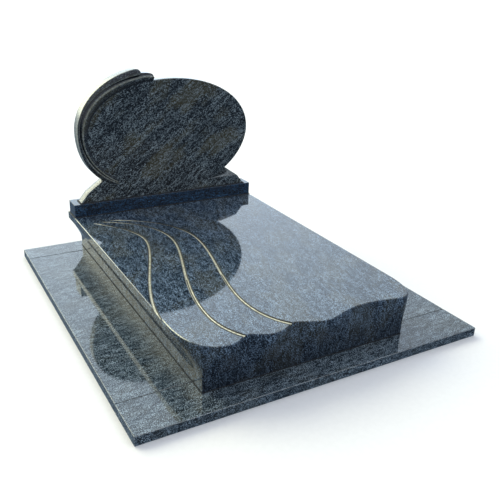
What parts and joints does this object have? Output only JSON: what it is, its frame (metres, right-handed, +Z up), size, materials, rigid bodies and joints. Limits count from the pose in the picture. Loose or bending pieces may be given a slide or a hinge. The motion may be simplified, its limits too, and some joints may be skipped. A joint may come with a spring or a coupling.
{
  "type": "tombstone",
  "caption": "Polished granite grave monument: a framed base, a thick slab with a lobed front and carved folds, and an oval headstone on a plinth.",
  "frame": {"origin": "on the ground, under the middle of the base's outer rectangle", "axes": "+Z up, -Y towards the foot of the grave with the lobed front, +Y towards the headstone, +X to the right as one faces the headstone"},
  "size_m": [1.87, 2, 1.1613],
  "materials": {
    "base_granite": "mirror-polished blue-grey granite with fine light streaks",
    "slab_granite": "mirror-polished blue-grey granite with fine light streaks",
    "headstone_granite": "mirror-polished dark blue-grey granite with diagonal light streaks and brown tints"
  },
  "bodies": {
    "root": {"base_front": "base_granite", "base_left": "base_granite", "base_right": "base_granite", "base_rear": "base_granite", "tomb_slab": "slab_granite", "plinth": "headstone_granite", "headstone": "headstone_granite"}
  },
  "joints": []
}
